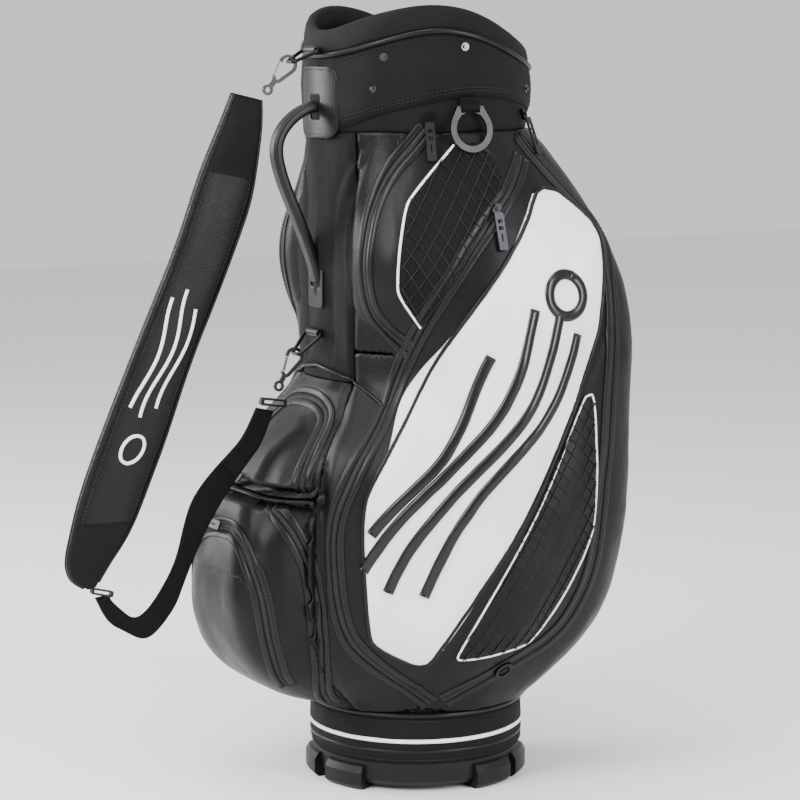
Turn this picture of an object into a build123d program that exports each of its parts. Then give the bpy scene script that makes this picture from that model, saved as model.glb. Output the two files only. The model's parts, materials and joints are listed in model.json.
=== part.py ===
"""A golf staff bag: tube body, padded cuff, side and ball pockets, handle and shoulder strap.

Frame: millimetres, +Z up, origin at the centre of the base's underside. The spine, with the
handle and the strap, faces -Y. The side pockets face +X and -X. Angles are measured round
the bag from the spine, positive towards +X.
"""

import math
import os

from build123d import *

os.makedirs("parts", exist_ok=True)

# ---- Driving dimensions ----------------------------------------------------------------
HEIGHT = 880
TUBE_R = 116
TUBE_WALL = 3
TUBE_BOTTOM = 10
TUBE_TOP = 798
COVER_R = 118.5
CUFF_R = 127.5
CUFF_INNER_R = 124.8
NECK_R = 124.5
BASE_R = 120
BAND_R = 122
FOOT_R = 128
FOOT_H = 6
CUP_TOP = 33
BAND_TOP = 88
BODY_BOTTOM = 92
BODY_TOP = 742
NECK_TOP = 790
SEAM_GAP = 0.4
FRONT_ANGLE = 28
REAR_ANGLE = 155
SPINE_SEAM_Z = 465
SKIN_LIFT = 3.0
SKIN_BASE = 0.6
FAR = 400

# Divider, six compartments
DIVIDER_TOP = 812
DIVIDER_DEPTH = 24
DIVIDER_RING_R = 106
BAR_WIDTH = 12
CROSS_BAR_Y = 36
PANEL_THICKNESS = 1.6

# Strap and its hardware, all in the plane x = 0
SWING_AXIS_TOP = (0, -160, 816)
SWING_AXIS_BOTTOM = (0, -155, 493)
RING_WIRE_R = 2.0
RING_HALF_WIDTH = 20
RING_CLEARANCE = 1.6
HOOK_THICKNESS = 3.0
HOOK_LENGTH = 30
PAD_THICKNESS = 18
WEBBING_THICKNESS = 3

# Zip hardware
TRACK_WIDTH = 14
TRACK_DEPTH = 5
TRACK_PROUD = 1.4
SLIDER_LENGTH = 13
SLIDER_WIDTH = 8
SLIDER_HEIGHT = 4
PULL_LENGTH = 42
PULL_WIDTH = 10
PULL_THICKNESS = 2
PIN_OFFSET = 4.6
BRIDGE = 3
BRIDGE_HEIGHT = 1.6
RUN_GAP = 0.4
RECESS_SPARE = 0.3
RECESS_TOP = 9


# ---- Helpers ---------------------------------------------------------------------------
def save(piece, name):
    """Label a finished piece and write its STEP file."""
    piece.part.label = name
    export_step(piece.part, f"parts/{name}.step")


def polar(angle, radius):
    """A plan point at an angle from the spine and a radius from the bag's axis."""
    turn = math.radians(angle)
    return (radius * math.sin(turn), -radius * math.cos(turn))


def wave_ring(inner, outer, lower, upper):
    """A ring whose lower and upper edges rise and fall with y, the same on both sides."""
    with BuildPart(mode=Mode.PRIVATE) as ring:
        with BuildSketch(Plane.XY.offset(lower[0][1] - 60)):
            Circle(outer)
            Circle(inner, mode=Mode.SUBTRACT)
        extrude(amount=260)
        with BuildSketch(Plane.YZ):
            with BuildLine():
                Spline(*lower)
                Line(lower[-1], upper[-1])
                Spline(*reversed(upper))
                Line(upper[0], lower[0])
            make_face()
        extrude(amount=FAR, both=True, mode=Mode.INTERSECT)
    return ring.part


# ---- The soft body's outer form --------------------------------------------------------
# Each station of the body's plan: height, front centre y, front corner, gusset corner,
# side x, zip edge, rear corner and back centre y.
STATIONS = (
    (92, -126, (44, -118), (72, -103), 126, (100, 77), (72, 103), 126),
    (130, -212, (62, -206), (92, -132), 143, (125, 105), (102, 122), 130),
    (165, -243, (70, -237), (104, -157), 165, (148, 122), (124, 147), 141),
    (240, -257, (74, -250), (110, -168), 186, (172, 142), (148, 172), 157),
    (310, -241, (72, -234), (112, -170), 194, (180, 148), (154, 181), 163),
    (400, -178, (60, -171), (111, -147), 196, (183, 150), (156, 185), 165),
    (465, -131, (44, -127), (99, -98), 195, (184, 150), (157, 184), 165),
    (545, -126, (40, -122), (107, -106), 186, (180, 150), (154, 182), 160),
    (620, -126, (40, -124), (112, -113), 168, (160, 134), (138, 165), 149),
    (714, -124, (40, -117), (85, -96), 136, (110, 95), (95, 115), 131),
    (742, -124, (39, -117), (78, -99), 127, (96, 83), (72, 103), 126),
)


def outline_points(station, lift):
    """Plan points round the right side at one station, carried on past the spine and the back."""
    _, front, corner, gusset, side, zip_edge, rear, back = station
    shoulder = (0.45 * gusset[0] + 0.55 * side + 6, 0.5 * gusset[1])
    haunch = (0.5 * (side + zip_edge[0]) + 5, 0.55 * zip_edge[1])
    rump = (0.5 * rear[0], 0.5 * (back + rear[1]) + 3)
    right = [corner, gusset, shoulder, (side, 0), haunch, zip_edge, rear, rump]
    left = [(-x, y) for x, y in right]
    points = [*reversed(left[:3]), (0, front), *right, (0, back), *reversed(left[-3:])]
    return [(x * (1 + lift / math.hypot(x, y)), y * (1 + lift / math.hypot(x, y))) for x, y in points]


def angle_place(curve, angle):
    """Where along an outline its angle from the spine reaches a value."""
    low, high = 0.0, 1.0
    for _ in range(30):
        middle = 0.5 * (low + high)
        point = curve @ middle
        if (math.degrees(math.atan2(point.X, -point.Y)) + 90) % 360 - 90 < angle:
            low = middle
        else:
            high = middle
    return high


def body_sector(start, end, lift=0, inner=COVER_R):
    """The soft body between two angles, from an inner radius out, as one loft."""
    middle = 0.5 * (start + end)
    with BuildPart(mode=Mode.PRIVATE) as sector:
        for station in STATIONS:
            with BuildSketch(Plane.XY.offset(station[0])):
                with BuildLine():
                    outline = Spline(*outline_points(station, lift), mode=Mode.PRIVATE)
                    outer = outline.trim(angle_place(outline, start), angle_place(outline, end))
                    add(outer)
                    Line(outer @ 1, polar(end, inner))
                    ThreePointArc(polar(end, inner), polar(middle, inner), polar(start, inner))
                    Line(polar(start, inner), outer @ 0)
                make_face()
        loft()
    return sector.part


def side_prism(outline):
    """A prism along X, to one side of the bag, over an outline given as (y, z) points."""
    with BuildPart(mode=Mode.PRIVATE) as prism:
        with BuildSketch(Plane.YZ):
            with BuildLine():
                Polyline(*outline, close=True)
            make_face()
        extrude(amount=FAR)
    return prism.part


def mirrored(part):
    """The same piece on the bag's other side."""
    with BuildPart(mode=Mode.PRIVATE) as twin:
        mirror(part, about=Plane.YZ)
    return twin.part


# ---- Zip tracks: straight stretches that the sliders run on ----------------------------
# name: (start of travel, end of travel, outward normal, direction in which the pull hangs)
ZIPS = {
    "main_right": ((156.8, 8.8, 657.3), (162, -27, 616), (0.93, -0.2, 0.32), (0.34, -0.02, -0.94)),
    "upper_right": ((114.4, -50, 756.2), (108.2, -63.3, 735.9), (0.86, -0.47, 0.19), (0.12, 0.02, -0.99)),
    "ball": ((-50, -217.5, 352.9), (-20, -217.5, 352.9), (0, -0.77, 0.64), (1, 0, 0)),
    "front": ((-50, -243, 304), (8, -243, 304), (0, -0.94, 0.33), (1, 0, 0)),
}
REAR_ZIP = ((101.5, 75.5, 757), (107, 79, 735), (0.78, 0.42, 0.46), (0.3, 0.32, -0.9))


def zip_plane(zip_run, lift):
    """A plane on a zip: x along the travel, z outward, at a lift above the zip's line."""
    start, end, normal, _ = zip_run
    travel = Vector(*end) - Vector(*start)
    outward = Vector(*normal)
    outward = (outward - travel * (outward.dot(travel) / travel.dot(travel))).normalized()
    origin = Vector(*start) + outward * lift
    return Plane(origin=origin, x_dir=travel, z_dir=outward)


def travel_length(zip_run):
    return (Vector(*zip_run[1]) - Vector(*zip_run[0])).length


def tape_block(zip_run, spare, top):
    """A block along a slider's travel, with some spare width, up to a height above the zip."""
    length = travel_length(zip_run) + 2 * SLIDER_LENGTH
    centre = 0.5 * travel_length(zip_run)
    with BuildPart(mode=Mode.PRIVATE) as block:
        with BuildSketch(zip_plane(zip_run, top)):
            with Locations((centre, 0)):
                Rectangle(length + 2 * spare, TRACK_WIDTH + 2 * spare)
        extrude(amount=-(top - TRACK_PROUD + TRACK_DEPTH + spare))
    return block.part


def slider_part(zip_run):
    """A zip slider: a boat-shaped block with a bridge that holds the pull's pin."""
    base = TRACK_PROUD + RUN_GAP
    with BuildPart(mode=Mode.PRIVATE) as slider:
        with BuildSketch(zip_plane(zip_run, base)):
            SlotOverall(SLIDER_LENGTH, SLIDER_WIDTH)
        extrude(amount=SLIDER_HEIGHT)
        with BuildSketch(zip_plane(zip_run, base + SLIDER_HEIGHT)):
            Rectangle(BRIDGE, BRIDGE)
        extrude(amount=BRIDGE_HEIGHT)
    return slider.part


def pull_plane(zip_run):
    """A plane at the pull's pin: x along the hanging pull, z outward."""
    outward = zip_plane(zip_run, 0).z_dir
    hang = Vector(*zip_run[3])
    hang = (hang - outward * hang.dot(outward)).normalized()
    lift = TRACK_PROUD + RUN_GAP + SLIDER_HEIGHT + 0.5
    pin = Vector(*zip_run[0]) + outward * lift + hang * PIN_OFFSET
    return Plane(origin=pin, x_dir=hang, z_dir=outward)


def pull_part(zip_run):
    """A flat pull tab with two square windows and a long slot."""
    with BuildPart(mode=Mode.PRIVATE) as pull:
        with BuildSketch(pull_plane(zip_run)):
            with Locations((0.5 * PULL_LENGTH, 0)):
                RectangleRounded(PULL_LENGTH, PULL_WIDTH, 2)
            with Locations((10, 0), (17.5, 0)):
                Rectangle(4.5, 5, mode=Mode.SUBTRACT)
            with Locations((28, 0)):
                SlotOverall(9, 1.6, mode=Mode.SUBTRACT)
        extrude(amount=PULL_THICKNESS)
    return pull.part


TRACKS = [tape_block(run, 0, TRACK_PROUD) for run in ZIPS.values()]
TRACKS += [mirrored(TRACKS[0]), mirrored(TRACKS[1])]
RECESSES = [tape_block(run, RECESS_SPARE, RECESS_TOP) for run in ZIPS.values()]

with BuildPart() as zip_tracks:
    for track in TRACKS:
        add(track)
save(zip_tracks, "zip_tracks")

# ---- Base ------------------------------------------------------------------------------
with BuildPart() as base_cup:
    with BuildSketch(Plane.XZ):
        with BuildLine():
            Polyline(
                (0, 0), (30, 0), (34, FOOT_H), (BASE_R - 6, FOOT_H), (BASE_R, FOOT_H + 6), (BASE_R, CUP_TOP),
                (TUBE_R + 0.3, CUP_TOP), (TUBE_R + 0.3, 10), (0, 10), close=True,
            )
        make_face()
    revolve(axis=Axis.Z)
save(base_cup, "base_cup")

FOOT_SPAN = 25
FOOT_STARTS = (-30, 6, 93, 124, 210, 241)
with BuildPart() as base_feet:
    for start in FOOT_STARTS:
        with BuildSketch(Plane.XZ.rotated((0, 0, start - 90))):
            with BuildLine():
                Polyline(
                    (96, 0), (FOOT_R - 5, 0), (FOOT_R, 5), (FOOT_R, 20), (FOOT_R - 4, 27), (BASE_R, 29),
                    (BASE_R, FOOT_H + 6), (BASE_R - 6, FOOT_H), (96, FOOT_H), close=True,
                )
            make_face()
        revolve(axis=Axis.Z, revolution_arc=FOOT_SPAN)
save(base_feet, "base_feet")

with BuildPart() as base_band:
    with BuildSketch(Plane.XY.offset(CUP_TOP)):
        Circle(BAND_R)
        Circle(TUBE_R + 0.3, mode=Mode.SUBTRACT)
    extrude(amount=BAND_TOP - CUP_TOP)
save(base_band, "base_band")

with BuildPart() as base_piping:
    with BuildSketch(Plane.XZ):
        with Locations((BAND_R, 60)):
            Circle(2.5)
        with Locations((BAND_R - 5, 60)):
            Rectangle(10, 6, mode=Mode.SUBTRACT)
    revolve(axis=Axis.Z)
save(base_piping, "base_piping")

with BuildPart() as base_binding:
    with BuildSketch(Plane.XY.offset(BAND_TOP)):
        Circle(BAND_R + 1.5)
        Circle(TUBE_R + 0.3, mode=Mode.SUBTRACT)
    extrude(amount=BODY_BOTTOM - SEAM_GAP - BAND_TOP)
save(base_binding, "base_binding")

# ---- Tube and divider ------------------------------------------------------------------
with BuildPart() as body_tube:
    with BuildSketch(Plane.XY.offset(TUBE_BOTTOM)):
        Circle(TUBE_R)
        Circle(TUBE_R - TUBE_WALL, mode=Mode.SUBTRACT)
    extrude(amount=TUBE_TOP - TUBE_BOTTOM)
save(body_tube, "body_tube")

with BuildPart() as divider_top:
    with BuildSketch(Plane.XY.offset(DIVIDER_TOP - DIVIDER_DEPTH)):
        Circle(TUBE_R - TUBE_WALL - 0.1)
        Circle(DIVIDER_RING_R, mode=Mode.SUBTRACT)
    extrude(amount=DIVIDER_DEPTH)
    with BuildSketch(Plane.XY.offset(DIVIDER_TOP - DIVIDER_DEPTH)):
        Rectangle(BAR_WIDTH, 2 * DIVIDER_RING_R + 4)
        with Locations((0, CROSS_BAR_Y), (0, -CROSS_BAR_Y)):
            Rectangle(2 * math.sqrt(DIVIDER_RING_R**2 - CROSS_BAR_Y**2) + 4, BAR_WIDTH)
    extrude(amount=DIVIDER_DEPTH)
save(divider_top, "divider_top")

with BuildPart() as divider_panels:
    with BuildSketch(Plane.XY.offset(12)):
        Rectangle(PANEL_THICKNESS, 2 * (TUBE_R - TUBE_WALL) - 2)
        with Locations((0, CROSS_BAR_Y), (0, -CROSS_BAR_Y)):
            Rectangle(2 * math.sqrt((TUBE_R - TUBE_WALL) ** 2 - CROSS_BAR_Y**2) - 2, PANEL_THICKNESS)
    extrude(amount=DIVIDER_TOP - DIVIDER_DEPTH - 12)
save(divider_panels, "divider_panels")

# ---- Neck and cuff ---------------------------------------------------------------------
# Edges of the cuff as (y, height): low at the spine and the back, high at the sides.
CUFF_LOWER = [
    (-140, 726), (-127, 731), (-98, 756), (-64, 769), (-11, 780),
    (35, 777), (80, 768), (127, 750), (140, 744),
]
CUFF_UPPER = [
    (-140, 812), (-126, 818), (-84, 841), (-42, 852), (-5, 846),
    (21, 837), (61, 821), (100, 807), (140, 800),
]
RIM_EDGE = [
    (-140, 830), (-124, 845), (-102, 866), (-57, 879), (-12, 876),
    (30, 861), (65, 844), (100, 830), (140, 822),
]
BINDING_HALF = 3.5

with BuildPart() as body_neck:
    with BuildSketch(Plane.XY.offset(BODY_TOP)):
        Circle(NECK_R)
        Circle(TUBE_R, mode=Mode.SUBTRACT)
    extrude(amount=NECK_TOP - BODY_TOP)
    for recess in RECESSES:
        add(recess, mode=Mode.SUBTRACT)
        mirror(recess, about=Plane.YZ, mode=Mode.SUBTRACT)
save(body_neck, "body_neck")

CUFF_SLEEVE = wave_ring(TUBE_R + 0.2, CUFF_R, CUFF_LOWER, CUFF_UPPER)
BINDING_LOWER = [(y, z - BINDING_HALF) for y, z in CUFF_UPPER]
BINDING_UPPER = [(y, z + BINDING_HALF) for y, z in CUFF_UPPER]
BINDING_SLEEVE = wave_ring(CUFF_R + 0.05, CUFF_R + 2, BINDING_LOWER, BINDING_UPPER)
RIM_START = [(y, z + SEAM_GAP) for y, z in CUFF_UPPER]
RIM_SLEEVE = wave_ring(TUBE_R - TUBE_WALL, CUFF_R - 1, RIM_START, RIM_EDGE)

with BuildPart() as cuff:
    add(CUFF_SLEEVE)
    with BuildSketch(Plane.XY.offset(600)):
        Circle(CUFF_INNER_R)
    extrude(amount=NECK_TOP - 600 + SEAM_GAP, mode=Mode.SUBTRACT)
save(cuff, "cuff")

with BuildPart() as cuff_binding:
    add(BINDING_SLEEVE)
save(cuff_binding, "cuff_binding")

with BuildPart() as cuff_rim:
    add(RIM_SLEEVE)
save(cuff_rim, "cuff_rim")

STUD_PLACES = ((38, 788), (44, 822), (84, 833), (131, 786))
with BuildPart() as hood_studs:
    for angle, height in STUD_PLACES:
        for side in (-1, 1):
            seat = polar(side * angle, CUFF_R + 0.05)
            outward = (*polar(side * angle, 1), 0)
            with BuildSketch(Plane(origin=(*seat, height), z_dir=outward)):
                Circle(4.5)
            extrude(amount=2)
            with BuildSketch(Plane(origin=(*seat, height), z_dir=outward)):
                Circle(2.2)
            extrude(amount=4)
save(hood_studs, "hood_studs")

# ---- Front: spine panel, tee pocket, ball pocket and its front pocket ------------------
BALL_TOP = 345
BALL_FRONT_UPPER = (-243, 303)
BALL_FRONT_LOWER = (-196, 100)


def front_slice(outline):
    """The front wedge of the body inside an outline of (y, z) points."""
    with BuildPart(mode=Mode.PRIVATE) as piece:
        add(FRONT_WEDGE)
        with BuildSketch(Plane.YZ):
            with BuildLine():
                Polyline(*outline, close=True)
            make_face()
        extrude(amount=FAR, both=True, mode=Mode.INTERSECT)
        for recess in RECESSES:
            add(recess, mode=Mode.SUBTRACT)
    return piece.part


FRONT_WEDGE = body_sector(-FRONT_ANGLE, FRONT_ANGLE)
HALF_GAP = 0.5 * SEAM_GAP
FRONT_EDGE = BALL_FRONT_LOWER[0] + SEAM_GAP
SPINE_REGION = [
    (-FAR, SPINE_SEAM_Z + HALF_GAP), (0, SPINE_SEAM_Z + HALF_GAP), (0, BODY_TOP), (-FAR, BODY_TOP),
]
TEE_REGION = [
    (-FAR, BALL_TOP + HALF_GAP), (0, BALL_TOP + HALF_GAP),
    (0, SPINE_SEAM_Z - HALF_GAP), (-FAR, SPINE_SEAM_Z - HALF_GAP),
]
BALL_REGION = [
    (0, BODY_BOTTOM), (FRONT_EDGE, BODY_BOTTOM), (FRONT_EDGE, BALL_FRONT_LOWER[1]),
    (BALL_FRONT_UPPER[0] + SEAM_GAP, BALL_FRONT_UPPER[1]), (-FAR, BALL_FRONT_UPPER[1] + 31),
    (-FAR, BALL_TOP - HALF_GAP), (0, BALL_TOP - HALF_GAP),
]
BALL_FRONT_REGION = [
    (BALL_FRONT_LOWER[0], BODY_BOTTOM), BALL_FRONT_LOWER, BALL_FRONT_UPPER,
    (-FAR, BALL_FRONT_UPPER[1] + 30), (-FAR, BODY_BOTTOM),
]
FRONT_PIECES = [front_slice(r) for r in (SPINE_REGION, TEE_REGION, BALL_REGION, BALL_FRONT_REGION)]

with BuildPart() as spine_panel:
    add(FRONT_PIECES[0])
save(spine_panel, "spine_panel")

with BuildPart() as tee_pocket:
    add(FRONT_PIECES[1])
save(tee_pocket, "tee_pocket")

with BuildPart() as ball_pocket:
    add(FRONT_PIECES[2])
save(ball_pocket, "ball_pocket")

with BuildPart() as ball_pocket_front:
    add(FRONT_PIECES[3])
save(ball_pocket_front, "ball_pocket_front")

# ---- Sides: main pocket below and upper pocket above the slanting zip ------------------
SIDE_WEDGE = body_sector(FRONT_ANGLE + 0.2, REAR_ANGLE - 0.2)
# The slanting seam between the two side pockets, from the spine side up to the cuff.
SLANT = [(-FAR, 500), (-80, 500), (-68, 540), (-27, 616), (33, 678), (66, BODY_TOP + 10)]
UPPER_REGION = SLANT + [(-FAR, BODY_TOP + 10)]
SLANT_BELOW = [(y, z - SEAM_GAP) for y, z in SLANT]
MAIN_REGION = SLANT_BELOW + [(FAR, BODY_TOP + 9), (FAR, 0), (-FAR, 0)]
DRAIN_PLACE = (152.6, 23.9, 142.6)
DRAIN_NORMAL = (0.83, 0.12, -0.55)
DRAIN_R = 7.5

UPPER_PRISM = side_prism(UPPER_REGION)
MAIN_PRISM = side_prism(MAIN_REGION)

with BuildPart() as upper_pocket_right:
    add(SIDE_WEDGE)
    add(UPPER_PRISM, mode=Mode.INTERSECT)
    for recess in RECESSES:
        add(recess, mode=Mode.SUBTRACT)
save(upper_pocket_right, "upper_pocket_right")

with BuildPart() as main_pocket_right:
    add(SIDE_WEDGE)
    add(MAIN_PRISM, mode=Mode.INTERSECT)
    for recess in RECESSES:
        add(recess, mode=Mode.SUBTRACT)
save(main_pocket_right, "main_pocket_right")

with BuildPart() as upper_pocket_left:
    mirror(upper_pocket_right.part, about=Plane.YZ)
save(upper_pocket_left, "upper_pocket_left")

with BuildPart() as main_pocket_left:
    mirror(main_pocket_right.part, about=Plane.YZ)
save(main_pocket_left, "main_pocket_left")

REAR_SECTOR = body_sector(REAR_ANGLE, 360 - REAR_ANGLE)
with BuildPart() as rear_panel:
    add(REAR_SECTOR)
save(rear_panel, "rear_panel")

# The pale panel on the main pocket: straight slanting sides and rounded corners.
PALE_OUTLINE = [
    (66, 682), (84, 682), (132, 645), (140, 610), (128, 540), (120, 500), (90, 448), (-66, 160),
    (-85, 155), (-128, 180), (-136, 205), (-143, 300), (-142, 346), (-133, 369), (-46, 530), (50, 671),
]
SKIN_OUTER = body_sector(32, 150, SKIN_LIFT, 100)
SKIN_INNER = body_sector(31, 151, SKIN_BASE, 98)
PALE_PRISM = side_prism(PALE_OUTLINE)

with BuildPart() as side_panel_right:
    add(SKIN_OUTER)
    add(SKIN_INNER, mode=Mode.SUBTRACT)
    add(PALE_PRISM, mode=Mode.INTERSECT)
save(side_panel_right, "side_panel_right")

with BuildPart() as side_panel_left:
    mirror(side_panel_right.part, about=Plane.YZ)
save(side_panel_left, "side_panel_left")

# ---- Handle on the spine ---------------------------------------------------------------
HANDLE_PATH = [
    (0, -127, 767), (0, -160, 753), (0, -177, 727), (0, -174, 698),
    (0, -160, 662), (0, -141, 618), (0, -127, 574),
]
HANDLE_WIDTH = 18
HANDLE_THICKNESS = 12

with BuildPart() as handle:
    with BuildLine() as handle_line:
        Spline(*HANDLE_PATH)
    with BuildSketch(Plane(origin=handle_line.line @ 0, x_dir=(1, 0, 0), z_dir=handle_line.line % 0)):
        RectangleRounded(HANDLE_WIDTH, HANDLE_THICKNESS, 5)
    sweep()
    with BuildSketch(Plane.XY.offset(500)):
        Circle(CUFF_R + 0.3)
    extrude(amount=300, mode=Mode.SUBTRACT)
save(handle, "handle")

BRACKET_SPAN = 37
with BuildPart() as handle_bracket:
    with BuildSketch(Plane.XY.offset(731)):
        Circle(CUFF_R + 2.4)
        Circle(CUFF_R + 0.05, mode=Mode.SUBTRACT)
    extrude(amount=82)
    with BuildSketch(Plane.XZ):
        with Locations((0, 772)):
            RectangleRounded(2 * CUFF_R * math.sin(math.radians(BRACKET_SPAN / 2)), 79, 16)
    extrude(amount=FAR, mode=Mode.INTERSECT)
    with BuildSketch(Plane.XZ):
        with Locations((0, 766)):
            Rectangle(HANDLE_WIDTH + 2, 26)
    extrude(amount=FAR, mode=Mode.SUBTRACT)
save(handle_bracket, "handle_bracket")

with BuildPart() as handle_anchor:
    with BuildSketch(Plane.XZ.offset(127.8)):
        with Locations((0, 566)):
            RectangleRounded(34, 44, 6)
        with Locations((0, 578)):
            Rectangle(HANDLE_WIDTH + 2, 22, mode=Mode.SUBTRACT)
    extrude(amount=2.4)
save(handle_anchor, "handle_anchor")

# ---- Strap rings and their tabs --------------------------------------------------------
RING_TOP_ROOT = (0, -133, 829)
RING_LOW_ROOT = (0, -131.5, 516)


def ring_plane(root, tip):
    """A plane holding a triangular ring: x across the bag, y from the tip back to the root."""
    back = Vector(*root) - Vector(*tip)
    return Plane(origin=tip, x_dir=(1, 0, 0), z_dir=Vector(1, 0, 0).cross(back))


def strap_ring(root, tip):
    """A triangular wire ring: a straight bar at the root and a narrow tip."""
    reach = (Vector(*root) - Vector(*tip)).length
    corners = [(-RING_HALF_WIDTH, reach), (RING_HALF_WIDTH, reach), (8, 0), (-8, 0)]
    with BuildPart(mode=Mode.PRIVATE) as ring:
        with BuildLine(ring_plane(root, tip)) as wire:
            FilletPolyline(*corners, radius=4.5, close=True)
        with BuildSketch(wire.line ^ 0):
            Circle(RING_WIRE_R)
        sweep()
    return ring.part


def ring_tab(root, base_y):
    """A folded leather tab round a ring's root bar, sewn to the bag at base_y."""
    hole = RING_WIRE_R + 0.4
    outer = hole + 2
    with BuildPart(mode=Mode.PRIVATE) as tab:
        with BuildSketch(Plane.YZ.offset(-13)):
            with Locations((root[1], root[2])):
                Circle(outer)
            with Locations((0.5 * (root[1] + base_y), root[2])):
                Rectangle(abs(base_y - root[1]), 2 * outer)
            with Locations((root[1], root[2])):
                Circle(hole, mode=Mode.SUBTRACT)
        extrude(amount=26)
    return tab.part


STRAP_RING_UPPER = strap_ring(RING_TOP_ROOT, SWING_AXIS_TOP)
with BuildPart() as strap_ring_upper:
    add(STRAP_RING_UPPER)
save(strap_ring_upper, "strap_ring_upper")

STRAP_RING_LOWER = strap_ring(RING_LOW_ROOT, SWING_AXIS_BOTTOM)
with BuildPart() as strap_ring_lower:
    add(STRAP_RING_LOWER)
save(strap_ring_lower, "strap_ring_lower")

RING_TAB_UPPER = ring_tab(RING_TOP_ROOT, -CUFF_R - 2.2)
with BuildPart() as ring_tab_upper:
    add(RING_TAB_UPPER)
save(ring_tab_upper, "ring_tab_upper")

RING_TAB_LOWER = ring_tab(RING_LOW_ROOT, -126.4)
with BuildPart() as ring_tab_lower:
    add(RING_TAB_LOWER)
save(ring_tab_lower, "ring_tab_lower")

# ---- Snap hooks ------------------------------------------------------------------------
HOOK_UPPER_SWIVEL = (0, -185, 789)
HOOK_LOWER_SWIVEL = (0, -173, 464)
HOOK_END_R = 11
HOOK_BASE_R = 6
HOOK_BAND = 3.4
GATE_START = 6
GATE_WIDTH = 3.0
GATE_GAP = 1.0


def hook_plane(swivel, tip):
    """A plane in x = 0 with its origin at the ring's contact, x pointing from swivel to tip."""
    along = (Vector(*tip) - Vector(*swivel)).normalized()
    return Plane(origin=tip, x_dir=along, z_dir=(1, 0, 0)).offset(-0.5 * HOOK_THICKNESS)


# In the hook's plane the ring's wire is at the origin, just inside the hook's round end.
HOOK_END_X = RING_WIRE_R + RING_CLEARANCE - (HOOK_END_R - HOOK_BAND)
HOOK_BASE_X = HOOK_END_X - HOOK_LENGTH + HOOK_END_R
GATE_TILT = math.asin((HOOK_END_R - HOOK_BASE_R) / (HOOK_END_X - HOOK_BASE_X))


def gate_point(along):
    """A point on the middle of the hook's straight gate side."""
    start = (HOOK_BASE_X - math.sin(GATE_TILT) * HOOK_BASE_R, math.cos(GATE_TILT) * HOOK_BASE_R)
    inset = 0.5 * HOOK_BAND
    x = start[0] + along * math.cos(GATE_TILT) + inset * math.sin(GATE_TILT)
    y = start[1] + along * math.sin(GATE_TILT) - inset * math.cos(GATE_TILT)
    return (x, y)


GATE_LENGTH = 13
GATE_PIVOT = gate_point(2)
GATE_TIP = gate_point(2 + GATE_LENGTH)
GATE_MIDDLE = gate_point(2 + 0.5 * GATE_LENGTH)
GATE_PLACE = Location((*GATE_MIDDLE, 0), (0, 0, math.degrees(GATE_TILT)))


def snap_hook(swivel, tip):
    """A pear-shaped hook with a barrel swivel and an eye for the strap."""
    plane = hook_plane(swivel, tip)
    with BuildPart(mode=Mode.PRIVATE) as hook:
        with BuildSketch(plane):
            with BuildSketch(mode=Mode.PRIVATE) as outer:
                with Locations((HOOK_END_X, 0)):
                    Circle(HOOK_END_R)
                with Locations((HOOK_BASE_X, 0)):
                    Circle(HOOK_BASE_R)
                make_hull()
            add(outer.sketch)
            offset(outer.sketch, amount=-HOOK_BAND, mode=Mode.SUBTRACT)
        extrude(amount=HOOK_THICKNESS)
        with BuildSketch(plane):
            with Locations(GATE_PLACE):
                SlotCenterToCenter(GATE_LENGTH, GATE_WIDTH + 2 * GATE_GAP)
        extrude(amount=HOOK_THICKNESS, mode=Mode.SUBTRACT)
        barrel_x = HOOK_BASE_X - HOOK_BASE_R
        with BuildSketch(plane):
            with Locations((barrel_x - 4, 0)):
                Rectangle(9, 5)
            with Locations((barrel_x - 12, 0)):
                Circle(6)
                Circle(3.2, mode=Mode.SUBTRACT)
        extrude(amount=HOOK_THICKNESS)
    return hook.part


def hook_gate(swivel, tip):
    """The sprung gate that closes a hook's straight side."""
    with BuildPart(mode=Mode.PRIVATE) as gate:
        with BuildSketch(hook_plane(swivel, tip)):
            with Locations(GATE_PLACE):
                SlotCenterToCenter(GATE_LENGTH, GATE_WIDTH)
        extrude(amount=HOOK_THICKNESS)
    return gate.part


HOOK_UPPER = snap_hook(HOOK_UPPER_SWIVEL, SWING_AXIS_TOP)
with BuildPart() as hook_upper:
    add(HOOK_UPPER)
save(hook_upper, "hook_upper")

HOOK_UPPER_GATE = hook_gate(HOOK_UPPER_SWIVEL, SWING_AXIS_TOP)
with BuildPart() as hook_upper_gate:
    add(HOOK_UPPER_GATE)
save(hook_upper_gate, "hook_upper_gate")

HOOK_LOWER = snap_hook(HOOK_LOWER_SWIVEL, SWING_AXIS_BOTTOM)
with BuildPart() as hook_lower:
    add(HOOK_LOWER)
save(hook_lower, "hook_lower")

HOOK_LOWER_GATE = hook_gate(HOOK_LOWER_SWIVEL, SWING_AXIS_BOTTOM)
with BuildPart() as hook_lower_gate:
    add(HOOK_LOWER_GATE)
save(hook_lower_gate, "hook_lower_gate")

# ---- Strap: pad, webbing, slide and buckle ---------------------------------------------
PAD_OUTER = [
    (-231, 783), (-260, 722), (-300, 620), (-367, 476), (-420, 351), (-437, 284), (-433, 262), (-412, 256),
]
PAD_INNER = [
    (-404, 260), (-381, 286), (-353, 324), (-316, 409), (-254, 559), (-209, 666), (-199, 726), (-197, 775),
]
with BuildPart() as strap_pad:
    with BuildSketch(Plane.YZ.offset(-0.5 * PAD_THICKNESS)):
        with BuildLine():
            Spline(*PAD_OUTER)
            Line(PAD_OUTER[-1], PAD_INNER[0])
            Spline(*PAD_INNER)
            Line(PAD_INNER[-1], PAD_OUTER[0])
        make_face()
    extrude(amount=PAD_THICKNESS)
save(strap_pad, "strap_pad")

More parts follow.
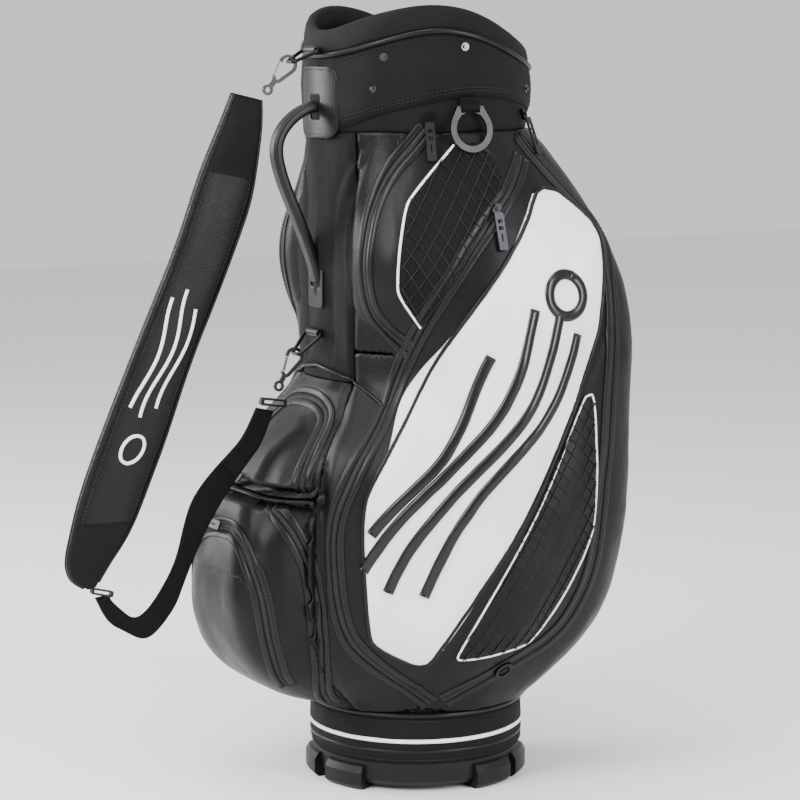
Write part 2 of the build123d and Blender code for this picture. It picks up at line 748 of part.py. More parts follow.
WEB_OUTER = [
    (-346, 188), (-307, 221), (-288, 266), (-263, 311), (-245, 339), (-231, 359), (-200, 392), (-184, 431),
]
WEB_INNER = [(-204, 436), (-217, 404), (-259, 371), (-286, 336), (-304, 282), (-329, 234), (-346, 217)]
WEB_TAIL = [(-358, 214), (-386, 240), (-402, 240), (-388, 213), (-368, 200)]

with BuildPart() as strap_webbing:
    with BuildSketch(Plane.YZ.offset(-0.5 * WEBBING_THICKNESS)):
        with BuildLine():
            Spline(*WEB_OUTER)
            Line(WEB_OUTER[-1], WEB_INNER[0])
            Spline(*WEB_INNER)
            Polyline(WEB_INNER[-1], *WEB_TAIL, WEB_OUTER[0])
        make_face()
    extrude(amount=WEBBING_THICKNESS)
save(strap_webbing, "strap_webbing")

with BuildPart() as strap_slide:
    with BuildSketch(Plane(origin=(-3, -394, 247.5), x_dir=(0, 19, -5), z_dir=(1, 0, 0))):
        RectangleRounded(26, 7, 2)
        Rectangle(20, 3.2, mode=Mode.SUBTRACT)
    extrude(amount=6)
save(strap_slide, "strap_slide")

with BuildPart() as strap_buckle:
    with BuildSketch(Plane(origin=(-3, -184, 440.5), x_dir=(0, 26, -4), z_dir=(1, 0, 0))):
        RectangleRounded(32, 9, 2.5)
        Rectangle(24, 3.6, mode=Mode.SUBTRACT)
    extrude(amount=6)
save(strap_buckle, "strap_buckle")

# ---- Towel ring ------------------------------------------------------------------------
TOWEL_ANGLE = 86
TOWEL_HINGE_Z = 767
TOWEL_HINGE_R = 131.8
TOWEL_LEAN = 9.5
TOWEL_R = 25.5
TOWEL_BAND = 7
TOWEL_CENTRE = 23
TOWEL_BAR_R = 2
TOWEL_BAR_HALF = 13

towel_hinge = (*polar(TOWEL_ANGLE, TOWEL_HINGE_R), TOWEL_HINGE_Z)
towel_out = Vector(*polar(TOWEL_ANGLE, 1), 0)
towel_across = towel_out.cross(Vector(0, 0, 1)) * -1
TOWEL_TILT = math.radians(TOWEL_LEAN)
towel_normal = towel_out * math.cos(TOWEL_TILT) + Vector(0, 0, math.sin(TOWEL_TILT))
towel_plane = Plane(origin=towel_hinge, x_dir=towel_across, z_dir=towel_normal)
towel_bar_plane = Plane(origin=towel_hinge, x_dir=towel_out, z_dir=towel_across)

with BuildPart() as towel_ring:
    with BuildSketch(towel_plane.offset(-1.5)):
        with BuildSketch(mode=Mode.PRIVATE) as horseshoe:
            with Locations((0, -TOWEL_CENTRE)):
                Circle(TOWEL_R)
            with Locations((0, 0)):
                Rectangle(2 * TOWEL_BAR_HALF + 5, 4)
            make_hull()
        add(horseshoe.sketch)
        with BuildSketch(mode=Mode.PRIVATE) as window:
            with Locations((0, -TOWEL_CENTRE)):
                Circle(TOWEL_R - TOWEL_BAND)
            with Locations((0, -10)):
                Rectangle(2 * TOWEL_BAR_HALF - 2, 4)
            make_hull()
        add(window.sketch, mode=Mode.SUBTRACT)
        with Locations((0, -0.6)):
            Rectangle(2 * TOWEL_BAR_HALF - 3, 9.5, mode=Mode.SUBTRACT)
    extrude(amount=3)
    with BuildSketch(towel_bar_plane.offset(-TOWEL_BAR_HALF)):
        Circle(TOWEL_BAR_R)
    extrude(amount=2 * TOWEL_BAR_HALF)
save(towel_ring, "towel_ring")

with BuildPart() as towel_loop:
    with BuildSketch(towel_bar_plane.offset(-10.5)):
        Circle(TOWEL_BAR_R + 2)
        with Locations((-3.2, -5)):
            Rectangle(3.6, 14)
        Circle(TOWEL_BAR_R + 0.4, mode=Mode.SUBTRACT)
    extrude(amount=21)
save(towel_loop, "towel_loop")

# ---- Drain grommet at the foot of the right main pocket --------------------------------
with BuildPart() as drain_grommet:
    with BuildSketch(Plane(origin=DRAIN_PLACE, z_dir=DRAIN_NORMAL)):
        Circle(DRAIN_R + 4)
        Circle(DRAIN_R, mode=Mode.SUBTRACT)
    extrude(amount=3)
save(drain_grommet, "drain_grommet")

# ---- Zip sliders and pulls -------------------------------------------------------------
SLIDERS = {name: slider_part(run) for name, run in ZIPS.items()}
PULLS = {name: pull_part(run) for name, run in ZIPS.items()}
REAR_SLIDER = slider_part(REAR_ZIP)
REAR_PULL = pull_part(REAR_ZIP)

for name in ZIPS:
    with BuildPart() as zip_slider:
        add(SLIDERS[name])
    save(zip_slider, f"slider_{name}")
    with BuildPart() as zip_pull:
        add(PULLS[name])
    save(zip_pull, f"pull_{name}")

for name in ("main", "upper"):
    with BuildPart() as zip_slider:
        mirror(SLIDERS[f"{name}_right"], about=Plane.YZ)
    save(zip_slider, f"slider_{name}_left")
    with BuildPart() as zip_pull:
        mirror(PULLS[f"{name}_right"], about=Plane.YZ)
    save(zip_pull, f"pull_{name}_left")

with BuildPart() as rear_sliders:
    add(REAR_SLIDER)
    mirror(REAR_SLIDER, about=Plane.YZ)
save(rear_sliders, "rear_sliders")

with BuildPart() as pull_rear_right:
    add(REAR_PULL)
save(pull_rear_right, "pull_rear_right")

with BuildPart() as pull_rear_left:
    mirror(REAR_PULL, about=Plane.YZ)
save(pull_rear_left, "pull_rear_left")
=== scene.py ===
import json
import math

import bpy
import numpy as np
from mathutils import Matrix, Vector, geometry, kdtree, noise
from mathutils.bvhtree import BVHTree


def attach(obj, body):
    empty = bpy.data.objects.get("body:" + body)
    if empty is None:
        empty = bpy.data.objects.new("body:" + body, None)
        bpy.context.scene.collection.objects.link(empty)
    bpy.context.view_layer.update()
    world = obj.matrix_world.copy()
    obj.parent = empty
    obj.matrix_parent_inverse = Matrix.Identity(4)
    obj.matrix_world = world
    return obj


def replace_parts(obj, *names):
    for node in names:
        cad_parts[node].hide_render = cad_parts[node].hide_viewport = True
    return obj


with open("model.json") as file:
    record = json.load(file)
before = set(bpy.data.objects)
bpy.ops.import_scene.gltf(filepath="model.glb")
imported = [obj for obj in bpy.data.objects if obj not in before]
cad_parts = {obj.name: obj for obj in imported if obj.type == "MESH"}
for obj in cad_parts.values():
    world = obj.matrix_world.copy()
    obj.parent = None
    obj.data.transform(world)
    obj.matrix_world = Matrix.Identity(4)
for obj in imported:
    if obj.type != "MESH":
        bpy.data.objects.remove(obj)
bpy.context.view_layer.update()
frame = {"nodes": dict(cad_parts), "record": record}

MM = 0.001
NODES = frame["nodes"]

# ---- Materials -------------------------------------------------------------------------
RELIEF = 0.0006  # height of the finest grain, in metres


def material(name, color, rough, kind="plain", metal=0.0, bump=0.2, scale=900, coat=0.0, shine=0.5):
    """A procedural finish: grain, weave, mesh or brushed, with uneven colour and roughness."""
    mat = bpy.data.materials.new(name)
    mat.use_nodes = True
    tree = mat.node_tree
    shader = tree.nodes["Principled BSDF"]
    shader.inputs["Metallic"].default_value = metal
    shader.inputs["Coat Weight"].default_value = coat
    shader.inputs["Specular IOR Level"].default_value = shine
    shader.inputs["Coat Roughness"].default_value = 0.3
    place = tree.nodes.new("ShaderNodeTexCoord")

    def texture(kind_name, **values):
        node = tree.nodes.new(kind_name)
        tree.links.new(place.outputs["Object"], node.inputs["Vector"])
        for key, value in values.items():
            node.inputs[key].default_value = value
        return node

    def bands(direction):
        node = texture("ShaderNodeTexWave", Scale=scale)
        node.bands_direction = direction
        return node.outputs["Fac"]

    def mix(a, b, how):
        node = tree.nodes.new("ShaderNodeMath")
        node.operation = how
        tree.links.new(a, node.inputs[0])
        tree.links.new(b, node.inputs[1])
        return node.outputs[0]

    cloud = texture("ShaderNodeTexNoise", Scale=9.0, Detail=6.0)
    ramp = tree.nodes.new("ShaderNodeValToRGB")
    spread = 0.12 if max(color) > 0.5 else 0.35
    ramp.color_ramp.elements[0].position = 0.3
    ramp.color_ramp.elements[1].position = 0.7
    ramp.color_ramp.elements[0].color = (*[c * (1 - spread) for c in color], 1)
    ramp.color_ramp.elements[1].color = (*[min(1, c * (1 + spread)) for c in color], 1)
    tree.links.new(cloud.outputs["Fac"], ramp.inputs["Fac"])
    tree.links.new(ramp.outputs["Color"], shader.inputs["Base Color"])
    spots = texture("ShaderNodeTexNoise", Scale=60.0, Detail=4.0)
    span = tree.nodes.new("ShaderNodeMapRange")
    span.inputs["To Min"].default_value = max(0.05, rough - 0.08)
    span.inputs["To Max"].default_value = min(1, rough + 0.08)
    tree.links.new(spots.outputs["Fac"], span.inputs["Value"])
    tree.links.new(span.outputs["Result"], shader.inputs["Roughness"])
    if kind == "leather":
        cells = texture("ShaderNodeTexVoronoi", Scale=scale)
        fine = texture("ShaderNodeTexNoise", Scale=scale * 0.3, Detail=5.0)
        height = mix(cells.outputs["Distance"], fine.outputs["Fac"], "ADD")
    elif kind == "weave":
        height = mix(bands("Z"), bands("X"), "MULTIPLY")
        height = mix(height, bands("Y"), "ADD")
    elif kind == "brushed":
        height = texture("ShaderNodeTexNoise", Scale=scale, Detail=3.0).outputs["Fac"]
    else:
        height = texture("ShaderNodeTexNoise", Scale=scale, Detail=4.0).outputs["Fac"]
    relief = tree.nodes.new("ShaderNodeBump")
    relief.inputs["Strength"].default_value = bump
    relief.inputs["Distance"].default_value = RELIEF
    tree.links.new(height, relief.inputs["Height"])
    tree.links.new(relief.outputs["Normal"], shader.inputs["Normal"])
    return mat


LEATHER = material("leather_black", (0.0035, 0.0035, 0.004), 0.36, "leather", bump=0.3, shine=0.17)
EDGE = material("leather_edge_black", (0.0045, 0.0045, 0.005), 0.33, "leather", bump=0.2, shine=0.22)
PALE = material("leather_white", (0.82, 0.83, 0.85), 0.45, "leather", bump=0.1)
CLOTH = material("cloth_black", (0.0045, 0.0045, 0.005), 0.7, "weave", bump=0.5, scale=420, shine=0.15)
MESH = material("mesh_black", (0.005, 0.005, 0.0055), 0.75, "weave", bump=0.9, scale=260, shine=0.15)
WEB = material("webbing_black", (0.0045, 0.0045, 0.005), 0.8, "weave", bump=0.9, scale=300, shine=0.12)
COIL = material("zip_coil_black", (0.006, 0.006, 0.007), 0.5, bump=0.3, shine=0.25)
THREAD = material("thread_grey", (0.03, 0.03, 0.033), 0.6, "weave", bump=0.4, scale=900, shine=0.2)
WHITE = material("piping_white", (0.87, 0.88, 0.9), 0.35, bump=0.1)
GLOSS = material("motif_black", (0.003, 0.003, 0.004), 0.25, bump=0.05, shine=0.3, coat=0.15)
PLASTIC = material("plastic_black", (0.005, 0.005, 0.0055), 0.42, bump=0.3, scale=1500, shine=0.2)
GREY = material("plastic_grey", (0.01, 0.01, 0.011), 0.6, bump=0.3, shine=0.2)
LINING = material("divider_cloth", (0.008, 0.008, 0.009), 0.9, "weave", bump=0.6, scale=350, shine=0.1)
STEEL = material("gunmetal", (0.02, 0.0205, 0.022), 0.3, "brushed", metal=1.0, bump=0.08)
BRIGHT = material("bright_metal", (0.09, 0.092, 0.1), 0.25, "brushed", metal=1.0, bump=0.05)
PULL = material("pull_metal", (0.035, 0.036, 0.04), 0.38, "brushed", metal=0.9, bump=0.1)
GRIP = material("grip", (0.005, 0.005, 0.0055), 0.4, bump=0.2, scale=1200, shine=0.25)
SLOT_MATERIALS = {
    "leather": LEATHER, "leather_pale": PALE, "leather_edge": EDGE, "fabric_mesh": CLOTH,
    "fabric_body": CLOTH, "webbing": WEB, "piping_pale": WHITE, "plastic_black": PLASTIC,
    "plastic_grey": GREY, "divider_fabric": LINING, "steel_dark": STEEL, "steel_bright": BRIGHT,
    "handle_grip": GRIP,
}
for entry in frame["record"]["subparts"]:
    node = NODES[entry["node"]]
    chosen = SLOT_MATERIALS[entry["material_slot"]]
    if entry["node"].startswith("pull_"):
        chosen = PULL
    node.data.materials.clear()
    node.data.materials.append(chosen)

# ---- The body's surface as radius against angle from the spine and height ----------------
SOFT = [
    "spine_panel", "tee_pocket", "ball_pocket", "ball_pocket_front", "upper_pocket_right",
    "upper_pocket_left", "main_pocket_right", "main_pocket_left", "rear_panel",
]
LOW, HIGH, Z_STEP = 93.0, 741.0, 4.0
HEIGHTS = np.arange(LOW, HIGH + 0.1, Z_STEP)
ANGLES = np.arange(0, 361, 1.0)
R_TUBE = 124.0


def merged_tree(names):
    """One tree of some nodes' faces, and the node that each face came from."""
    verts, faces, owner = [], [], []
    for index, name in enumerate(names):
        node = NODES[name]
        base = len(verts)
        verts += [node.matrix_world @ v.co for v in node.data.vertices]
        for face in node.data.polygons:
            faces.append([base + i for i in face.vertices])
            owner.append(index)
    return BVHTree.FromPolygons(verts, faces), owner


tree_soft, tree_owner = merged_tree(SOFT)
radius = np.full((len(ANGLES), len(HEIGHTS)), R_TUBE)
label = np.full(radius.shape, -1)
for i, angle in enumerate(ANGLES):
    turn = math.radians(angle)
    out = Vector((math.sin(turn), -math.cos(turn), 0))
    for j, height in enumerate(HEIGHTS):
        place, _, face, _ = tree_soft.ray_cast(out * 0.5 + Vector((0, 0, height * MM)), -out)
        if place is not None:
            radius[i, j] = math.hypot(place.x, place.y) / MM
            label[i, j] = tree_owner[face]


def shifted(grid, di, dj):
    """The grid moved by steps of angle, which wrap, and of height, which stop at the ends."""
    moved = np.roll(grid[:-1], di, axis=0)
    moved = np.concatenate([moved, moved[:1]])
    index = np.clip(np.arange(grid.shape[1]) + dj, 0, grid.shape[1] - 1)
    return moved[:, index]


def near(grid, reach, how):
    """The largest, smallest or mean value within a reach of each place."""
    stack = [shifted(grid, a, b) for a in range(-reach, reach + 1) for b in range(-reach, reach + 1)]
    return how(np.stack(stack), axis=0)


# The notches cut for the sliders' tracks are closed: widened, then narrowed, near them only.
TRACK_REACH, TRACK_PAST = 16, 20  # mm aside and past the ends
TRACK_ENDS = [
    ((156.8, 8.8, 657.3), (162, -27, 616)), ((114.4, -50, 756.2), (108.2, -63.3, 735.9)),
    ((-156.8, 8.8, 657.3), (-162, -27, 616)), ((-114.4, -50, 756.2), (-108.2, -63.3, 735.9)),
    ((-50, -217.5, 352.9), (-20, -217.5, 352.9)), ((-50, -243, 304), (8, -243, 304)),
]
turns = np.radians(ANGLES)[:, None]
tall = np.broadcast_to(HEIGHTS, radius.shape)
places = np.stack([radius * np.sin(turns), -radius * np.cos(turns), tall], -1)
by_track = np.zeros(radius.shape, bool)
for start, end in TRACK_ENDS:
    a, d = np.array(start, float), np.array(end, float) - np.array(start, float)
    past = TRACK_PAST / np.linalg.norm(d)
    share = np.clip(((places - a) @ d) / (d @ d), -past, 1 + past)
    by_track |= np.linalg.norm(places - a - share[..., None] * d, axis=-1) < TRACK_REACH
closed = near(near(radius, 3, np.max), 3, np.min)
SURFACE = near(near(np.where(by_track, closed, radius), 1, np.mean), 1, np.mean)


def lookup(grid, angle, height):
    """The grid's value at any angle and height."""
    a = np.mod(np.asarray(angle, float), 360)
    h = np.clip((np.asarray(height, float) - LOW) / Z_STEP, 0, len(HEIGHTS) - 1.001)
    i, j = np.floor(a).astype(int), np.floor(h).astype(int)
    u, v = a - i, h - j
    i2 = np.minimum(i + 1, len(ANGLES) - 1)
    return (
        grid[i, j] * (1 - u) * (1 - v) + grid[i2, j] * u * (1 - v)
        + grid[i, j + 1] * (1 - u) * v + grid[i2, j + 1] * u * v
    )


def angle_of(points):
    """Angle from the spine, in degrees, positive to the right."""
    return np.degrees(np.arctan2(points[:, 0], -points[:, 1]))


def smooth_path(points, step=4.0):
    """A curve through points, in even steps."""
    p = np.asarray(points, float)
    for _ in range(3):
        q = 0.75 * p[:-1] + 0.25 * p[1:]
        r = 0.25 * p[:-1] + 0.75 * p[1:]
        p = np.concatenate([p[:1], np.stack([q, r], 1).reshape(-1, p.shape[1]), p[-1:]])
    gone = np.concatenate([[0], np.cumsum(np.linalg.norm(np.diff(p, axis=0), axis=1))])
    count = max(3, int(gone[-1] / step) + 1)
    at = np.linspace(0, gone[-1], count)
    return np.stack([np.interp(at, gone, p[:, k]) for k in range(p.shape[1])], 1)


def mirrored(points):
    return [(-x, y, z) for x, y, z in reversed(points)]


ZIP_MAIN = [
    (126, 60, 712), (148, 33, 678), (156, 11, 657), (162, -27, 616), (152, -59, 565), (135, -74, 529),
    (111, -82, 486), (122, -119, 422), (122, -149, 371), (114, -164, 333), (112, -171, 301),
    (111, -169, 267), (111, -162, 224), (112, -148, 185), (117, -116, 154), (117, -78, 127),
    (117, -50, 105),
]
ZIP_REAR = [
    (112, 66, 735), (120, 91, 702), (134, 121, 663), (140, 157, 627), (152, 157, 614), (177, 146, 574),
    (187, 142, 468), (187, 138, 390), (189, 132, 351), (183, 126, 273), (178, 117, 233), (165, 85, 177),
    (156, 33, 151), (140, -10, 125), (125, -35, 108),
]
ZIP_UPPER = [
    (112, -52, 745), (107, -62, 731), (96, -91, 697), (94, -110, 661), (97, -119, 626), (95, -120, 593),
    (94, -113, 549), (103, -99, 527), (118, -76, 505),
]
BALL_RIGHT = [
    (31, -215, 350), (84, -212, 328), (99, -201, 285), (103, -186, 218), (88, -165, 150),
    (60, -146, 107),
]
ZIP_BALL = mirrored(BALL_RIGHT) + BALL_RIGHT
FRONT_RIGHT = [(20, -243, 304), (55, -247, 291), (82, -241, 251), (83, -228, 179), (70, -206, 135)]
ZIP_FRONT = mirrored(FRONT_RIGHT) + FRONT_RIGHT
TEE_RIGHT = [
    (21, -144, 444), (47, -146, 436), (60, -152, 424), (70, -170, 398), (79, -188, 367),
    (88, -205, 338),
]
ZIP_TEE = mirrored(TEE_RIGHT) + TEE_RIGHT
SPINE_EDGE = [
    (80, -98, 738), (62, -114, 718), (38, -120, 684), (31, -122, 651), (28, -124, 558),
    (28, -124, 490),
]
GUSSET = [
    (78, -101, 728), (60, -116, 685), (53, -121, 652), (53, -124, 615), (54, -122, 560),
    (64, -119, 543), (115, -81, 511),
]
LOWER_SEAM = [(0, -126, 479), (40, -124, 474), (68, -117, 466), (108, -107, 445)]
HAUNCH_SEAM = [(190, 137, 522), (192, 110, 468), (175, 40, 330), (150, -30, 200), (130, -74, 124)]

seam_points = []
for i in range(len(ANGLES)):
    for j in range(len(HEIGHTS) - 1):
        here = label[i, j]
        if here != label[i, j + 1] or here != label[(i + 1) % 360, j]:
            seam_points.append((ANGLES[i], HEIGHTS[j]))


def both_sides(runs):
    return [points for run in runs for points in (run, mirrored(run))]


def along_runs(runs):
    """Angle and height along some runs."""
    points = []
    for run in runs:
        path = smooth_path(run, 6)
        points += list(zip(angle_of(path), path[:, 2]))
    return points


def gap_to(points):
    """Distance from every place of the grid to the nearest of some points, in millimetres."""
    found = kdtree.KDTree(len(points))
    for index, (angle, height) in enumerate(points):
        r = float(lookup(SURFACE, angle, height))
        turn = math.radians(angle)
        found.insert((r * math.sin(turn), -r * math.cos(turn), height), index)
    found.balance()
    grid = np.zeros(SURFACE.shape)
    for i, angle in enumerate(ANGLES):
        turn = math.radians(angle)
        for j, height in enumerate(HEIGHTS):
            r = SURFACE[i, j]
            grid[i, j] = found.find((r * math.sin(turn), -r * math.cos(turn), height))[2]
    return grid


def rise_past(gap, distance):
    """From 0 on a line to 1 far from it."""
    return 1 - np.exp(-(gap / distance) ** 2)


def trough(gap, width):
    """From 1 on a line to 0 far from it."""
    return np.exp(-(gap / width) ** 2)


zip_gap = gap_to(along_runs(both_sides((ZIP_MAIN, ZIP_REAR, ZIP_UPPER)) + [ZIP_BALL, ZIP_FRONT, ZIP_TEE]))
crease_gap = gap_to(along_runs(both_sides((SPINE_EDGE, GUSSET, LOWER_SEAM, HAUNCH_SEAM))))
seam_gap = gap_to(seam_points)
folds = np.zeros(SURFACE.shape)
for i, angle in enumerate(ANGLES):
    turn = math.radians(angle)
    for j, height in enumerate(HEIGHTS):
        spot = Vector((math.sin(turn) * 4.2, -math.cos(turn) * 4.2, height * 0.011))
        folds[i, j] = noise.fractal(spot, 1.0, 2.0, 4, noise_basis="PERLIN_ORIGINAL")
PUFF, CREASE_DEPTH, SEAM_DEPTH, FOLD_HEIGHT, END_FADE = 4.5, 2.2, 1.0, 2.2, 18  # mm
puff = PUFF * rise_past(zip_gap, 30) * rise_past(crease_gap, 24)
puff -= CREASE_DEPTH * trough(crease_gap, 5)
puff -= SEAM_DEPTH * trough(seam_gap, 4) * rise_past(zip_gap, 16)
puff += FOLD_HEIGHT * folds * rise_past(zip_gap, 22) * rise_past(crease_gap, 10)
ends = np.clip(np.minimum(HEIGHTS - LOW, HIGH - HEIGHTS) / END_FADE, 0, 1)[None, :]
FINAL = SURFACE + puff * ends

# Where a pocket's side falls steeply to the tube, the surface is evened out along the fall.
STEEP_FROM, STEEP_FULL = 2.5, 6.0  # mm of radius in one degree
fall = np.abs(shifted(FINAL, 1, 0) - shifted(FINAL, -1, 0)) / 2
steep = np.clip((near(fall, 3, np.max) - STEEP_FROM) / (STEEP_FULL - STEEP_FROM), 0, 1)
evened = near(near(near(FINAL, 2, np.mean), 2, np.mean), 2, np.mean)
share_steep = near(steep, 2, np.mean)
FINAL = FINAL * (1 - share_steep) + evened * share_steep


def unit(vectors):
    return vectors / np.linalg.norm(vectors, axis=-1, keepdims=True)


def on_surface(angle, height, lift=0.0):
    """Points on the finished surface, raised along its normal, in millimetres."""
    angle, height = np.asarray(angle, float), np.asarray(height, float)

    def at(a, h):
        r = lookup(FINAL, a, h)
        t = np.radians(a)
        return np.stack([r * np.sin(t), -r * np.cos(t), h], -1)

    p = at(angle, height)
    along = at(angle + 1, height) - at(angle - 1, height)
    up = at(angle, height + 3) - at(angle, height - 3)
    n = unit(np.cross(along, up))
    return p + n * np.asarray(lift, float)[..., None], n


def emit(name, verts, faces, mat, body="bag", twin=False):
    """A mesh piece from points in millimetres, and its twin on the left if asked."""
    made = []
    for side, suffix in ((1, ""), (-1, "_left")) if twin else ((1, ""),):
        mesh = bpy.data.meshes.new(name + suffix)
        v = np.asarray(verts, float) * MM
        if side < 0:
            v = v * np.array([-1, 1, 1])
        f = [list(reversed(face)) for face in faces] if side < 0 else faces
        mesh.from_pydata(v.tolist(), [], [list(map(int, face)) for face in f])
        mesh.materials.append(mat)
        mesh.update()
        obj = bpy.data.objects.new(name + suffix, mesh)
        bpy.context.scene.collection.objects.link(obj)
        mesh.polygons.foreach_set("use_smooth", [True] * len(mesh.polygons))
        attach(obj, body)
        made.append(obj)
    return made


def grid_faces(rows, cols, closed_rows=False):
    """Four-sided faces between rows of a closed section."""
    faces = []
    for i in range(rows if closed_rows else rows - 1):
        for j in range(cols):
            a, b = (i + 1) % rows, (j + 1) % cols
            faces.append([i * cols + j, a * cols + j, a * cols + b, i * cols + b])
    return faces


def bar_faces(rows, cols):
    """Faces of a closed section carried along rows, with both ends shut."""
    last = (rows - 1) * cols
    return grid_faces(rows, cols) + [list(range(cols))[::-1], [last + k for k in range(cols)]]


def strip(name, points, profile, mat, twin=True, lift=0.0):
    """A profile of (across, height) carried along a path on the surface."""
    path = smooth_path(points)
    base, n = on_surface(angle_of(path), path[:, 2])
    across = np.cross(n, unit(np.gradient(base, axis=0)))
    rows = []
    for u, h in profile:
        q = base + across * u
        rows.append(on_surface(angle_of(q), q[:, 2], np.full(len(q), h + lift))[0])
    verts = np.stack(rows, 1).reshape(-1, 3)
    return emit(name, verts, bar_faces(len(base), len(profile)), mat, twin=twin)


BEAD_FOOT = [
    (-1, -0.4, 0), (-0.5, -1, 0), (0.5, -1, 0), (1, -0.4, 0), (1, 0.4, 0), (0.5, 1, 0), (-0.5, 1, 0),
    (-1, 0.4, 0),
]


def beads(name, base, n, t, size, mat, body="bag", twin=True):
    """Small rounded blocks, such as stitches or teeth: size is (along, across, height)."""
    across = np.cross(n, t)
    a, b, c = size
    top = [(x * 0.6, y * 0.6, 1) for x, y, _ in BEAD_FOOT]
    block = np.array(BEAD_FOOT + top)
    verts = (
        base[:, None] + t[:, None] * block[None, :, :1] * a / 2
        + across[:, None] * block[None, :, 1:2] * b / 2 + n[:, None] * (block[None, :, 2:3] * c - 0.3)
    ).reshape(-1, 3)
    faces = []
    for k in range(len(base)):
        s = len(block) * k
        faces += [[s + i, s + (i + 1) % 8, s + 8 + (i + 1) % 8, s + 8 + i] for i in range(8)]
        faces.append([s + 8 + i for i in range(8)])
        faces.append([s + 7 - i for i in range(8)])
    return emit(name, verts, faces, mat, body, twin)


def stitches(name, points, aside, twin=True, spacing=4.4, lift=0.0, size=(3.0, 0.8, 0.6)):
    """A row of stitches on the surface, aside of a run."""
    path = smooth_path(points, spacing)
    base, n = on_surface(angle_of(path), path[:, 2])
    t = unit(np.gradient(base, axis=0))
    q = base + np.cross(n, t) * aside
    p, n = on_surface(angle_of(q), q[:, 2], np.full(len(q), lift))
    return beads(name, p, n, t, size, THREAD, twin=twin)


def round_profile(r, sink=0.6):
    """A round section, raised by a share of its radius."""
    return [(r * math.cos(k * math.pi / 4), r * math.sin(k * math.pi / 4) + r * sink) for k in range(8)]


BAND_LEFT = [(-11.5, -1), (-11.5, 1.0), (-10.5, 1.6), (-4.6, 1.6), (-3.6, 0.9), (-3.6, -1)]
BAND_RIGHT = [(-x, h) for x, h in reversed(BAND_LEFT)]
TAPE = [(-4, -1), (-4, 0.5), (4, 0.5), (4, -1)]


def zip_run(name, points, twin):
    """A zip: a leather band on each side, tape, teeth and four rows of stitches."""
    strip(name + "_band_a", points, BAND_LEFT, EDGE, twin)
    strip(name + "_band_b", points, BAND_RIGHT, EDGE, twin)
    tapes = strip(name + "_tape", points, TAPE, COIL, twin)
    stitches(name + "_teeth", points, 0, twin, 2.4, 0.6, (1.3, 4.4, 0.7))
    for index, aside in enumerate((-9.6, -6.2, 6.2, 9.6)):
        stitches(f"{name}_stitch_{index}", points, aside, twin, lift=1.5)
    return tapes[0]


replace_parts(zip_run("zip_main", ZIP_MAIN, True), "zip_tracks")
zip_run("zip_rear", ZIP_REAR, True)
zip_run("zip_upper", ZIP_UPPER, True)
zip_run("zip_ball", ZIP_BALL, False)
zip_run("zip_front", ZIP_FRONT, False)
zip_run("zip_tee", ZIP_TEE, False)
for index, run in enumerate((SPINE_EDGE, GUSSET, HAUNCH_SEAM)):
    stitches(f"seam_stitch_{index}", run, 4.5)
lower_seam = mirrored(LOWER_SEAM) + LOWER_SEAM
strip("lower_seam_piping", lower_seam, round_profile(2.2), EDGE, twin=False)

# ---- Soft pocket shells -------------------------------------------------------------------


def dense_copy(name, voxel):
    """A copy of a CAD node, remeshed evenly, as arrays in millimetres."""
    source = NODES[name]
    mesh = source.data.copy()
    mesh.transform(source.matrix_world)
    temp = bpy.data.objects.new("temp", mesh)
    bpy.context.scene.collection.objects.link(temp)
    remesh = temp.modifiers.new("even", "REMESH")
    remesh.mode = "VOXEL"
    remesh.voxel_size = voxel
    soften = temp.modifiers.new("soft", "SMOOTH")
    soften.iterations = 2
    done = temp.evaluated_get(bpy.context.evaluated_depsgraph_get()).to_mesh()
    verts = np.empty(len(done.vertices) * 3)
    done.vertices.foreach_get("co", verts)
    faces = [list(p.vertices) for p in done.polygons]
    temp.to_mesh_clear()
    bpy.data.objects.remove(temp)
    return verts.reshape(-1, 3) / MM, faces


def vertex_normals(verts, faces):
    """Unit normals at the corners of a mesh of four-sided faces."""
    quads = np.array([f if len(f) == 4 else list(f) + [f[-1]] for f in faces])
    across = np.cross(verts[quads[:, 2]] - verts[quads[:, 0]], verts[quads[:, 3]] - verts[quads[:, 1]])
    total = np.zeros_like(verts)
    for corner in range(4):
        np.add.at(total, quads[:, corner], across)
    return total / np.maximum(np.linalg.norm(total, axis=1, keepdims=True), 1e-9)


POCKET_LOOK = {"spine_panel": (CLOTH, "fabric_body")}
POCKET_VOXEL = 0.0042  # metres
for name in SOFT:
    verts, faces = dense_copy(name, POCKET_VOXEL)
    r = np.hypot(verts[:, 0], verts[:, 1])
    phi = angle_of(verts)
    outward = verts[:, :2] / np.maximum(r, 1)[:, None]
    facing = np.einsum("ij,ij->i", vertex_normals(verts, faces)[:, :2], outward)
    skin = lookup(SURFACE, phi, verts[:, 2])
    goal = lookup(FINAL, phi, verts[:, 2])
    off = np.abs(r - skin)
    # Only what lies on the outside moves, and it moves less the deeper it lies.
    weight = np.clip(1.3 - off / 6, 0, 1)
    weight = np.where((facing > 0.25) & (off < 24), 1.0, weight)
    weight = np.where((lookup(by_track.astype(float), phi, verts[:, 2]) > 0.5) & (off < 9), 1.0, weight)
    weight *= (verts[:, 2] > LOW) & (verts[:, 2] < HIGH) & (skin > 119)
    target = r + (goal - r) * weight
    scale = target / np.maximum(r, 1)
    verts[:, 0] *= scale
    verts[:, 1] *= scale
    look, slot_name = POCKET_LOOK.get(name, (LEATHER, "leather"))
    shell = emit("skin_" + name, verts, faces, look)[0]
    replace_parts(shell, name)

# ---- Panels laid on the sides ---------------------------------------------------------------
FAN = np.linspace(25, 158, 134)  # the angles of the right side


